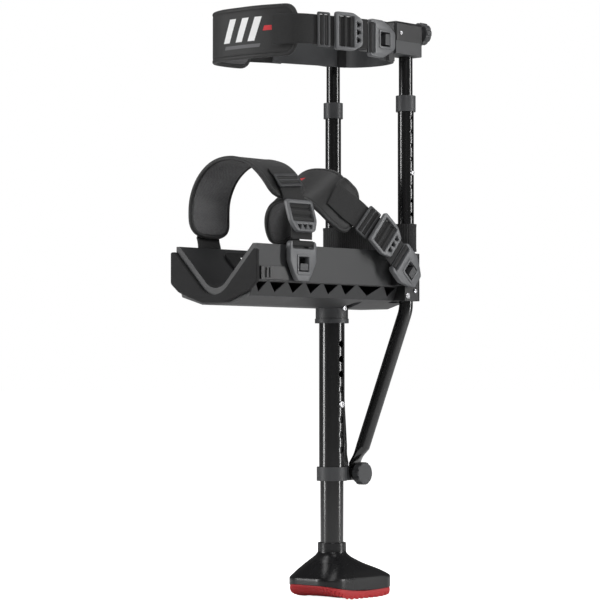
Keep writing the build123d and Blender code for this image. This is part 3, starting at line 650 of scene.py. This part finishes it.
def makeFolds(name, alongCount, place, mapSize, thickness, body):
    folds = shapedGrid(name, alongCount, 8, place, mapSize)
    solid = folds.modifiers.new("thick", "SOLIDIFY")
    solid.thickness = thickness * mm
    solid.offset = 0
    dress(folds, webbingCloth, body, "webbing")
    applyAll(folds)
    smoothShade(folds, 60)
    return folds


hook = {
    "width": 51, "nose": 22, "shoulder": 30, "thickness": 8, "window": 19, "notch": 20.4, "notchAt": 20.3,
    "rimWidth": 3.2, "rimHeight": 1.0, "edge": 1.3, "barRadius": 2.6, "barAt": 27.4,
}


def makeHook(name, origin, pull, out, body, cad):
    half = hook["width"] / 2
    side = [
        (-hook["nose"], half - 15), (-12, half - 8), (4, half), (hook["shoulder"] - 3, half),
        (hook["shoulder"], half - 3), (hook["shoulder"], hook["notch"]), (hook["notchAt"], hook["notch"]),
    ]
    outline = side + [(x, -y) for x, y in reversed(side)]
    w = hook["window"] / 2
    made = flatPart(
        name, [roundCorners(outline, 2.6), roundCorners(box2(-w, w, -w, w), 1.6)],
        hook["thickness"], hook["edge"], origin, pull, out,
    )
    rim = w + hook["rimWidth"]
    top = Vector(origin) + Vector(out).normalized() * (hook["thickness"] - 0.3)
    rimLoops = [
        roundCorners(box2(-rim - 1.5, rim, -rim, rim), 3),
        roundCorners(box2(-w - 0.2, w + 0.2, -w - 0.2, w + 0.2), 1.6),
    ]
    collar = flatPart(name + "Rim", rimLoops, hook["rimHeight"] + 0.3, 0.5, top, pull, out)
    x, z = Vector(pull).normalized(), Vector(out).normalized()
    across = z.cross(x)
    middle = Vector(origin) + x * hook["barAt"] + z * hook["thickness"] / 2
    bar = makeBar(middle, across, hook["barRadius"], 2 * hook["notch"] + 2, 24)
    joinInto(made, [collar, bar])
    dress(made, finishes["buckle_plastic"], body, "buckle_plastic", cad)
    return made


slider = {
    "length": 44, "width": 51, "taper": 8, "thickness": 6, "edge": 1.2, "inside": 20.6, "barAt": -5.5,
    "barRadius": 1.7,
}


def makeSlider(name, origin, run, out, body, cad):
    half, end = slider["width"] / 2, slider["length"] / 2
    outline = [
        (-end, -half), (end - 15, -half), (end, -half + slider["taper"]), (end, half - slider["taper"]),
        (end - 15, half), (-end, half),
    ]
    inside = slider["inside"]
    slots = [
        [(end - 9.5, y - 4), (end - 9.5, y + 4), (end - 3.5, y + 1.5), (end - 3.5, y - 1.5)]
        for y in (-10.5, 0, 10.5)
    ]
    loops = [roundCorners(outline, 4), roundCorners(box2(-end + 5.5, end - 14, -inside, inside), 1.5)]
    loops += [roundCorners(slot, 0.8, 3) for slot in slots]
    made = flatPart(name, loops, slider["thickness"], slider["edge"], origin, run, out)
    x, z = Vector(run).normalized(), Vector(out).normalized()
    across = z.cross(x)
    middle = Vector(origin) + x * slider["barAt"] + z * slider["thickness"] * 0.4
    joinInto(made, [makeBar(middle, across, slider["barRadius"], 2 * inside, 20)])
    dress(made, finishes["buckle_plastic"], body, "buckle_plastic", cad)

    # the webbing rises through the opening and over the bar
    def fold(u, v):
        along = -end + 6.2 + u * (slider["length"] - 21)
        overBar = 1.6 * math.cos((along - slider["barAt"]) * 2 * math.pi / 10.5)
        height = 2.2 + overBar + 0.35 * math.cos(along * 2 * math.pi / 3.2)
        return (Vector(origin) + x * along + across * (v - 0.5) * 40 + z * height) * mm

    makeFolds(name + "Folds", 60, fold, (0.024, 0.04), 1.2, body)
    return made


keeper = {"length": 20, "width": 47, "thickness": 3, "edge": 0.9}


def makeKeeper(name, origin, run, out, body):
    end, half = keeper["length"] / 2, keeper["width"] / 2
    loops = [
        roundCorners(box2(-end, end, -half, half), 3),
        roundCorners(box2(-end + 3.6, -1, -20.5, 20.5), 1), roundCorners(box2(1, end - 3.6, -20.5, 20.5), 1),
    ]
    made = flatPart(name, loops, keeper["thickness"], keeper["edge"], origin, run, out)
    dress(made, finishes["grey_plastic"], body, "grey_plastic")
    x, z = Vector(run).normalized(), Vector(out).normalized()
    across = z.cross(x)

    def fold(u, v):
        along = -end + 2.2 + u * (keeper["length"] - 4.4)
        height = 1.0 + 1.1 * abs(math.sin(along * math.pi / 5.6))
        return (Vector(origin) + x * along + across * (v - 0.5) * 39.6 + z * height) * mm

    makeFolds(name + "Folds", 40, fold, (0.016, 0.04), 1.0, body)
    return made


def makeBarLoop(name, middle, across, back, body):
    # the end of the webbing, sewn round the hook's bar
    middle, across, back = Vector(middle), Vector(across).normalized(), Vector(back).normalized()
    out = back.cross(across)

    def wrap(u, v):
        turn = math.radians(-150 + 300 * u)
        turned = (out * math.sin(turn) - back * math.cos(turn)) * 3.4
        return (middle + across * (v - 0.5) * 39.6 + turned) * mm

    return makeFolds(name, 30, wrap, (0.02, 0.04), 1.1, body)


for name, strap in straps.items():
    makePad(f"{name}CalfPad", strap["pad"], 7, 18, calfOuter, "frame", f"{name}_strap_pad")
    onPad = offsetStations(strap["pad"], 5.2, 40)
    makeWebbing(f"{name}Anchor", strap["far"] + onPad[:3], 2.2, "frame")
    stations = onPad[-3:] + strap["near"]
    makeWebbing(f"{name}Webbing", stations, 2.2, "frame", (f"{name}_strap_webbing",))
    makeHook(f"{name}Hook", strap["hookAt"], strap["pull"], (0, -1, 0), f"{name}_hook", f"{name}_hook")
    across = stations[-1][3:6]
    makeBarLoop(f"{name}BarLoop", strap["barAt"], across, strap["pull"], "frame")
    run = Vector(strap["sliderRun"])
    out = run.cross(Vector(across)).normalized()
    makeSlider(f"{name}Slider", Vector(strap["sliderAt"]) + out * 1.6, run, out, "frame", f"{name}_slider")
    before, place, after = (Vector(stations[strap["keeperOn"] + step][:3]) for step in (-1, 0, 1))
    run = after - before
    out = run.cross(Vector(stations[strap["keeperOn"]][3:6])).normalized()
    makeKeeper(f"{name}Keeper", place + out * 1.9, run, out, "frame")
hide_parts("calf_strap_keepers")
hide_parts("calf_strap_anchors")

thighStrap = {
    "pad": [(x, y, 760.5, *upright, 67) for x, y in (
        (-62, 95), (-98, 103), (-130, 98), (-145, 70), (-145.5, 35), (-142, 0), (-126, -50))],
    "webbing": [(x, y, 760.5, *upright, 40) for x, y in (
        (-145, -22), (-140.5, -38), (-133, -52), (-120, -61), (-100, -67.5), (-60, -78.5), (-26.6, -87))],
    "anchor": [(x, y, 756.5, *upright, 40) for x, y in (
        (-82, 107.6), (-62, 102), (-46, 94.5), (-31, 86.6), (-14, 81.6))],
    "hookAt": (6, -83, 756.5), "barAt": (-21.4, -87, 756.5), "sliderRun": (40, -10, 0),
    "keeperRun": (40, -12.5, 0),
}
makePad("thighPad", thighStrap["pad"], 7, 14, thighOuter, "thigh", "thigh_strap_pad")
makeWebbing("thighWebbing", thighStrap["webbing"], 2.2, "thigh", ("thigh_strap_webbing",))
makeWebbing("thighAnchor", thighStrap["anchor"], 2.2, "thigh", ("thigh_strap_anchor",))
makeHook("thighHook", thighStrap["hookAt"], (-1, 0, 0), (0, -1, 0), "thigh_hook", "thigh_hook")
makeBarLoop("thighBarLoop", thighStrap["barAt"], upright, (-1, 0, 0), "thigh")
run = Vector(thighStrap["sliderRun"]).normalized()
out = Vector((run.y, -run.x, 0))
makeSlider("thighSlider", Vector((-60, -78.5, 760.5)) + out * 2.0, run, out, "thigh", "thigh_slider")
run = Vector(thighStrap["keeperRun"]).normalized()
out = Vector((run.y, -run.x, 0))
thighKeeper = makeKeeper("thighKeeper", Vector((-97, -68.4, 760.5)) + out * 1.9, run, out, "thigh")
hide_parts("thigh_keeper")
print("straps and buckles made")


# --- Foot ---
foot = {
    "rings": [  # height, rear, toe, half width, corner radius
        (75, -18.6, 18.6, 18.6, 18.6), (74.4, -19.5, 19.5, 19.5, 19.5), (63, -19.6, 19.6, 19.6, 19.6),
        (60.5, -20.6, 20.6, 20.4, 20.4), (56.5, -24.5, 25, 23, 22.5), (51.5, -31.5, 34, 27.5, 25.5),
        (45, -37.5, 47, 33.5, 26), (37.5, -45, 68, 39.5, 27), (31, -51, 82.5, 44, 28),
        (28.2, -53, 86.2, 45.8, 28),
        (27, -53.2, 87, 46, 28), (20, -53.2, 87, 46, 28), (15, -53.2, 87, 46, 28),
    ],
    "ridge": 2.6, "ridgeWidth": 7,
    "rimHeel": 20.0, "rimLow": 10.8, "rimToe": 14.0,
}


def ringPoint(share, rear, toe, half, corner):
    # a rounded rectangle, with the same number of points on each corner and each side
    corner = min(corner, half, (toe - rear) / 2)
    legs = [
        ((toe - corner, -half + corner), -90), ((toe - corner, half - corner), 0),
        ((rear + corner, half - corner), 90), ((rear + corner, -half + corner), 180),
    ]
    place = (share % 1) * 8
    leg, f = int(place) % 8, place - int(place)
    centre, start = legs[leg // 2]
    if leg % 2 == 0:
        turn = math.radians(start + 90 * f)
        return centre[0] + corner * math.cos(turn), centre[1] + corner * math.sin(turn)
    turn = math.radians(start + 90)
    x, y = centre[0] + corner * math.cos(turn), centre[1] + corner * math.sin(turn)
    nextCentre, nextStart = legs[(leg // 2 + 1) % 4]
    turn = math.radians(nextStart)
    x2, y2 = nextCentre[0] + corner * math.cos(turn), nextCentre[1] + corner * math.sin(turn)
    return x + (x2 - x) * f, y + (y2 - y) * f


def rimHeight(x):
    # the rim is a shallow curve: high at the heel, lowest at the middle
    low, heel, toe = (25, foot["rimLow"]), (-53, foot["rimHeel"]), (87, foot["rimToe"])
    if x < low[0]:
        return low[1] + (heel[1] - low[1]) * ((low[0] - x) / (low[0] - heel[0])) ** 2
    return low[1] + (toe[1] - low[1]) * ((x - low[0]) / (toe[0] - low[0])) ** 2


def soleHeight(x):
    if x < -6:
        return 17 * ((-6 - x) / 47) ** 2
    if x > 36:
        return 6 * ((x - 36) / 51) ** 2
    return 0.0


def closeEnds(made):
    # fill the open rings and turn the faces outwards
    clearSelection()
    made.select_set(True)
    bpy.context.view_layer.objects.active = made
    bpy.ops.object.mode_set(mode="EDIT")
    bpy.ops.mesh.select_all(action="DESELECT")
    bpy.ops.mesh.select_non_manifold()
    bpy.ops.mesh.edge_face_add()
    bpy.ops.mesh.select_all(action="SELECT")
    bpy.ops.mesh.normals_make_consistent(inside=False)
    bpy.ops.object.mode_set(mode="OBJECT")


def makeFootShell():
    rings = foot["rings"]

    def place(u, v):
        at = v * (len(rings) - 1)
        i = min(int(at), len(rings) - 2)
        rows4 = [rings[max(i - 1, 0)], rings[i], rings[i + 1], rings[min(i + 2, len(rings) - 1)]]
        f = at - i
        if i in (0, 1, 9, 10, 11):
            z, rear, toe, half, corner = (b + (c - b) * f for b, c in zip(rows4[1], rows4[2]))
        else:
            z, rear, toe, half, corner = (
                smoothBetween(a, b, c, d, f)
                for a, b, c, d in zip(*rows4)
            )
        x, y = ringPoint(u, rear, toe, half, corner)
        if z < 20.5:
            z = rimHeight(x) + max(z - 15, 0) / 5 * (20 - rimHeight(x)) * 0.9
        elif x > 16 and z > 29:
            fade = min(1, (x - 16) / 20) * min(1, (z - 29) / 5)
            z += foot["ridge"] * math.exp(-(y / foot["ridgeWidth"]) ** 2) * fade
        return Vector((x, y, z)) * mm

    shell = shapedGrid("footShell", 128, 36, place)
    tidyMesh(shell, 0.00003)
    closeEnds(shell)
    smoothShade(shell, 38)
    dress(shell, finishes["foot_plastic"], "leg", "foot_plastic", "foot_shell")


tread = {
    "inset": 1.2, "lugPitch": 3, "lugDepth": 1.7, "bulge": 0.9,
    "rows": [  # share of the height down, share of the outline
        (0.0, 1.0), (0.15, 1.0), (0.5, 1.0), (0.8, 1.0), (1.0, 1.0),
        (1.02, 0.94), (1.02, 0.8), (1.02, 0.55), (1.02, 0.3), (1.02, 0.02),
    ],
}


def makeTread():
    steps = 192
    rows = tread["rows"]

    def place(u, v):
        row = rows[min(round(v * (len(rows) - 1)), len(rows) - 1)]
        down, scale = row
        inset = tread["inset"] - tread["bulge"] * math.sin(math.pi * min(down, 1)) * 0.8
        lug = round(u * steps) % tread["lugPitch"] == 0
        if down >= 0.8 and scale > 0.75 and lug:
            inset += 1.2
        x, y = ringPoint(u, -53 + inset, 87 - inset, 46 - inset, 28 - inset)
        x, y = 17 + (x - 17) * scale, y * scale
        top, low = rimHeight(x) - 0.05, soleHeight(x)
        z = top + (low - top) * min(down, 1)
        if down >= 0.8 and scale > 0.75 and lug:
            z = min(z + tread["lugDepth"], top)
        elif scale < 0.9:
            z += 1.0
        return Vector((x, y, z)) * mm

    made = shapedGrid("footTread", steps, len(rows) - 1, place)
    tidyMesh(made, 0.00005)
    closeEnds(made)
    smoothShade(made, 30)
    dress(made, finishes["tread_rubber"], "leg", "tread_rubber", "foot_tread")


makeFootShell()
makeTread()
print("foot made")


# --- Knee sleeve: a ribbed elastic band round both uprights ---
sleeve = {
    "x": 79, "reach": 66.5, "radius": 14.1, "low": 472.8, "high": 510.7, "ribPitch": 3.4, "ribDepth": 0.35,
    "wall": 2.3,
}


def makeSleeve():
    half, r = sleeve["reach"], sleeve["radius"]
    total = 4 * half + 2 * math.pi * r
    ribs = int(total / sleeve["ribPitch"])

    def place(u, v):
        s = (u % 1) * total
        rib = sleeve["ribDepth"] * math.sin(2 * math.pi * ribs * u)
        hem = 0.5 if v < 0.07 or v > 0.93 else 0.0
        sag = 1.1 * math.sin(math.pi * v)
        if s < 2 * half:
            x, y, nx, ny = r, -half + s, 1, 0
        elif s < 2 * half + math.pi * r:
            turn = (s - 2 * half) / r
            x, y = r * math.cos(turn), half + r * math.sin(turn)
            nx, ny = math.cos(turn), math.sin(turn)
        elif s < 4 * half + math.pi * r:
            x, y, nx, ny = -r, half - (s - 2 * half - math.pi * r), -1, 0
        else:
            turn = math.pi + (s - 4 * half - math.pi * r) / r
            x, y = r * math.cos(turn), -half + r * math.sin(turn)
            nx, ny = math.cos(turn), math.sin(turn)
        flat = min(1, max(0, (half - abs(y)) / 40)) * sag * 1.4
        grow = rib + hem * 0.6 - flat
        z = sleeve["low"] + v * (sleeve["high"] - sleeve["low"])
        return Vector((sleeve["x"] + x + nx * grow, y + ny * grow, z)) * mm

    made = shapedGrid("kneeSleeve", ribs * 6, 16, place, (total * mm, 0.038))
    tidyMesh(made, 0.00003)
    solid = made.modifiers.new("thick", "SOLIDIFY")
    solid.thickness = sleeve["wall"] * mm
    solid.offset = -1
    dress(made, sleeveCloth, "frame", "sleeve_fabric", "knee_sleeve")
    applyAll(made)
    smoothShade(made, 50)


makeSleeve()


# --- Foam lining of the trough, and the foam lip at its rear end ---
trough = {
    "floor": 416, "round": 25, "top": 472, "halfTop": 66, "liningHalf": 57, "liningRear": -157,
    "liningFront": 54,
}
centreZ = trough["floor"] + trough["round"]
rise = trough["top"] - centreZ
slope = math.atan2(rise, trough["halfTop"]) + math.asin(trough["round"] / math.hypot(rise, trough["halfTop"]))


def troughPoint(y, depth):
    # height of the trough's line at a depth below its surface
    radius = trough["round"] + depth
    footY = radius * math.sin(slope)
    if abs(y) <= footY:
        return centreZ - math.sqrt(radius ** 2 - y ** 2)
    return centreZ - radius * math.cos(slope) + (abs(y) - footY) * math.tan(slope)


def makeLining():
    stations = []
    middle = (trough["liningRear"] + trough["liningFront"]) / 2
    for i in range(31):
        y = trough["liningHalf"] * (1 - 2 * i / 30)
        length = trough["liningFront"] - trough["liningRear"]
        stations.append((middle, y, troughPoint(y, -2.4), 1, 0, 0, length))
    path = Path(stations)
    pad = shapedGrid(
        "troughLining", 60, 80,
        lambda u, v: padPoint(path, u, 2 * v - 1, 9 * mm, inset=0.6 * mm)[0], (path.length, 0.211),
    )
    solid = pad.modifiers.new("thick", "SOLIDIFY")
    solid.thickness = 3.6 * mm
    solid.offset = 0
    dress(pad, foamBlack, "frame", "foam", "trough_pad")
    applyAll(pad)
    clearSelection()
    bpy.ops.mesh.primitive_cube_add(size=1, location=(-0.113, 0.04, 0.449))
    cutter = bpy.context.object
    cutter.scale = (0.036, 0.07, 0.026)
    cut = pad.modifiers.new("window", "BOOLEAN")
    cut.object = cutter
    cut.operation = "DIFFERENCE"
    applyAll(pad)
    bpy.data.objects.remove(cutter)
    edge = pad.modifiers.new("edge", "BEVEL")
    edge.width = 1.1 * mm
    edge.segments = 3
    edge.limit_method = "ANGLE"
    edge.angle_limit = math.radians(50)
    applyAll(pad)
    smoothShade(pad, 50)


def makeRearLip():
    depth, outer, edge = 9, 78, 71.5
    top = [(y, troughPoint(y, depth)) for y in [edge - i * (2 * edge / 48) for i in range(49)]]
    low = [
        (-outer, top[-1][1]), (-outer, 423), (-63, 411), (-22, 397),
        (22, 397), (63, 411), (outer, 423), (outer, top[0][1]),
    ]
    made = flatPart(
        "rearLip", [top + roundCorners(low, 3)], 5.4, 1.4, (-234.5, 0, 0), (0, 1, 0), (1, 0, 0),
    )
    dress(made, foamBlack, "frame", "foam", "rear_lip")


makeLining()
makeRearLip()
print("sleeve and foam made")


# --- CAD nodes that keep their shape get their finish here ---
slotOf = {row["node"]: row["material_slot"] for row in frame["record"]["subparts"]}
extra = {"strap_foam": foamBlack, "foam": foamBlack, "webbing": webbingCloth}
for nodeName, cadNode in cadNodes.items():
    finish = finishes.get(slotOf[nodeName]) or extra.get(slotOf[nodeName])
    cadNode.data.materials.clear()
    cadNode.data.materials.append(finish)
print("finishes given")


# --- Floor and backdrop ---
def makeFloor():
    clearSelection()
    bpy.ops.mesh.primitive_plane_add(size=60, location=(18, 16, 0))
    floor = bpy.context.object
    floor.name = "floor"
    paper, shader = startMaterial("palePaper", view["floorColour"], 0.9, Emission_Strength=view["floorGlow"])
    shader.inputs["Emission Color"].default_value = (1, 1, 1, 1)
    seenBy = addNode(paper, "LightPath")
    glow = mathOn(paper, "MULTIPLY", seenBy.outputs["Is Camera Ray"], view["floorGlow"])
    joinTo(paper, glow, shader, "Emission Strength")
    tone = addNode(paper, "TexNoise", {"Vector": objectPlace(paper)}, Scale=3.0)
    patchColour(paper, shader, tone.outputs[0], view["floorColour"], [c * 1.02 for c in view["floorColour"]])
    floor.data.materials.append(paper)
    world = bpy.data.worlds.new("studio")
    bpy.context.scene.world = world
    world.use_nodes = True
    tree = world.node_tree
    seen = tree.nodes["Background"]
    seen.inputs[0].default_value = (1, 1, 1, 1)
    seen.inputs[1].default_value = view["backdrop"]
    fill = tree.nodes.new("ShaderNodeBackground")
    fill.inputs[1].default_value = view["fillLight"]
    fill.inputs[0].default_value = (1, 1, 1, 1)
    choice = tree.nodes.new("ShaderNodeMixShader")
    ray = tree.nodes.new("ShaderNodeLightPath")
    tree.links.new(ray.outputs["Is Camera Ray"], choice.inputs[0])
    tree.links.new(fill.outputs[0], choice.inputs[1])
    tree.links.new(seen.outputs[0], choice.inputs[2])
    tree.links.new(choice.outputs[0], tree.nodes["World Output"].inputs[0])


makeFloor()
bpy.context.scene.view_settings.view_transform = "Standard"
